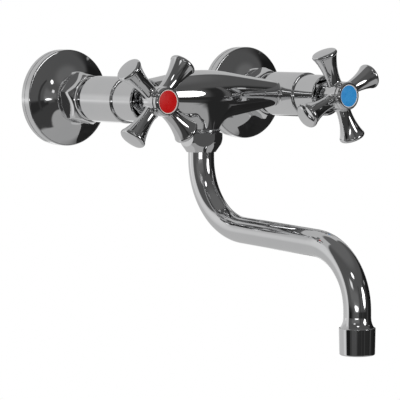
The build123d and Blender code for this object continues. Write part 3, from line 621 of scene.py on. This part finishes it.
def make_union_nut(side, centre_x, first_corner):
    """Polished hexagon nut: both ends turned to cones with soft edges, and a round collar in front."""
    corner = nut_across / sqrt(3)
    face = nut_across / 2
    count = ceil((nut_face - nut_back) / nut_ring_spacing)
    rings = []
    for index in range(count + 1):
        depth = nut_back + (nut_face - nut_back) * index / count
        back_cone = face + (corner - face) * (depth - nut_back) / nut_back_chamfer
        front_cone = face + (corner - face) * (nut_face - depth) / nut_front_chamfer
        cone = min(back_cone, front_cone)
        radii = []
        for step in range(ring_sides):
            flat = hexagon_radius(nut_across, tau * step / ring_sides)
            radii.append(rounded_least(flat, cone, nut_edge_blend))
        rings.append((depth, radii))
    for depth, radius in (
        (nut_face, nut_collar_radius),
        (nut_front - nut_collar_bevel, nut_collar_radius),
        (nut_front, nut_collar_radius - nut_collar_bevel),
        (nut_front, nut_lip_radius),
        (nut_front - nut_lip, nut_lip_radius),
        (nut_front - nut_lip, nut_bore_radius),
        (nut_back, nut_bore_radius),
    ):
        rings.append((depth, [radius] * ring_sides))
    add_ring_piece(side + "_polished_union_nut", centre_x, radians(first_corner), rings,
                   finishes["chrome"], side + "_union_nut")


def arm_underside(across, along):
    """Height of the cross arm's underside, at a place counted from the boss's axis."""
    radius = arm_middle_radius - arm_taper * across * across
    return arm_rise - sqrt(radius * radius - along * along)


def flare_curve(wide, deep):
    """Section of the flare in one direction from the boss: radii and heights from bead to rim,
    and then back inside the casting."""
    share_wide = abs(wide / flare_half_width) ** flare_squareness
    share_deep = abs(deep / flare_half_depth) ** flare_squareness
    reach = (share_wide + share_deep) ** (-1 / flare_squareness)
    rim = arm_underside(reach * wide, reach * deep)
    nearer = reach - flare_slope_step
    slope = (rim - arm_underside(nearer * wide, nearer * deep)) / (reach - nearer)
    lean = flare_lean * atan2(reach - boss_radius, rim - boss_bead_top)
    spread = tan(lean)
    rise = (rim - boss_bead_top - slope * (reach - boss_radius)) / (1 - slope * spread)
    rise = max(rise, flare_least_rise)
    bend = (boss_radius + spread * rise, boss_bead_top + rise)
    points = []
    for step in range(flare_steps + 1):
        t = step / flare_steps
        first = (1 - t) ** 2
        middle = 2 * t * (1 - t)
        last = t * t
        points.append((
            first * boss_radius + middle * bend[0] + last * reach,
            first * boss_bead_top + middle * bend[1] + last * (rim + flare_rim_sink),
        ))
    points.append((reach - flare_rim_depth, rim + flare_rim_depth))
    points.append((boss_inside_radius, boss_inside_top))
    points.append((boss_inside_radius, boss_bead_top))
    return points


def make_boss_flare():
    """Hollow curve of the casting between the cross arm and the bead of the spout's boss."""
    form = bmesh.new()
    columns = []
    for side in range(flare_sides):
        wide = cos(tau * side / flare_sides)
        deep = sin(tau * side / flare_sides)
        columns.append([
            form.verts.new((radius * wide, boss_axis_y + radius * deep, height))
            for radius, height in flare_curve(wide, deep)
        ])
    for column, after in zip(columns, columns[1:] + columns[:1]):
        for index in range(len(column)):
            form.faces.new((column[index - 1], after[index - 1], after[index], column[index]))
    add_piece("spout_boss_flare", form, finishes["chrome"])


def arm_end_profile():
    """Reaches and radii of an arm's end: a bead round the rim, and a shallow dome inside it."""
    points = [(arm_end_back, arm_end_back_radius)]
    for step in range(arm_bead_steps + 1):
        turn = radians(arm_bead_first + (arm_bead_last - arm_bead_first) * step / arm_bead_steps)
        reach = arm_bead_reach + arm_bead_radius * sin(turn)
        radius = arm_bead_centre + arm_bead_radius * cos(turn)
        points.append((reach, radius))
    rim_reach, rim_radius = points[-1]
    for step in range(1, arm_face_steps):
        share = 1 - step / arm_face_steps
        points.append((arm_end_front - (arm_end_front - rim_reach) * share * share, rim_radius * share))
    return points


def add_arm_end(form, centre, outward):
    """Adds one arm's rounded end to a handle's form, as a closed shell that starts inside the neck."""
    to_wall = Vector((0, 1, 0))
    across = outward.cross(to_wall)
    rows = []
    for reach, radius in arm_end_profile():
        row = []
        for side in range(arm_end_sides):
            angle = tau * side / arm_end_sides
            spoke = to_wall * cos(angle) + across * sin(angle)
            row.append(form.verts.new(centre + outward * reach + spoke * radius))
        rows.append(row)
    back = form.verts.new(centre + outward * arm_end_back)
    front = form.verts.new(centre + outward * arm_end_front)
    for side in range(arm_end_sides):
        after = (side + 1) % arm_end_sides
        form.faces.new((back, rows[0][side], rows[0][after]))
        form.faces.new((front, rows[-1][after], rows[-1][side]))
        for row, next_row in zip(rows, rows[1:]):
            form.faces.new((row[side], next_row[side], next_row[after], row[after]))


def make_cross_handle(side, centre_x, first_arm):
    """Cross handle: the plain hub and arms, cut off near their ends, and a rounded end on each arm."""
    form = bmesh.new()
    form.from_mesh(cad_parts[side + "_cross_handle"].data)
    bmesh.ops.remove_doubles(form, verts=form.verts, dist=weld_distance)
    centre = Vector((centre_x, -handle_depth, 0))
    for turn in range(handle_arms):
        angle = radians(first_arm) + tau * turn / handle_arms
        outward = Vector((cos(angle), 0, sin(angle)))
        bmesh.ops.bisect_plane(
            form,
            geom=form.verts[:] + form.edges[:] + form.faces[:],
            dist=weld_distance,
            plane_co=centre + outward * arm_cut_reach,
            plane_no=outward,
            clear_outer=True,
        )
        rim = [edge for edge in form.edges if edge.is_boundary]
        bmesh.ops.holes_fill(form, edges=rim, sides=0)
        add_arm_end(form, centre, outward)
    piece = add_piece(side + "_rounded_cross_handle", form, finishes["chrome"], side + "_handle")
    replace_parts(piece, side + "_cross_handle")


make_camera()
make_world()
make_room()
make_floor()
make_flag()
for lamp_settings in lamps:
    make_lamp(*lamp_settings)

finishes = {"chrome": make_chrome()}
for maker, kinds in ((make_turned_metal, turned_metals), (make_soft, soft_stuffs), (make_enamel, enamels)):
    for name, settings in kinds.items():
        finishes[name] = maker(name, *settings)
for name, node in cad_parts.items():
    for slot in node.material_slots:
        finish = "chrome" if name.endswith(plated_nodes) else slot.material.name.split(".")[0]
        slot.material = finishes[finish]

for side, centre_x, first_corner, first_arm in valves:
    make_wall_connector(side, centre_x)
    make_union_nut(side, centre_x, first_corner)
make_boss_flare()
for side, centre_x, first_corner, first_arm in valves:
    make_cross_handle(side, centre_x, first_arm)

bpy.context.scene.view_settings.view_transform = "Standard"
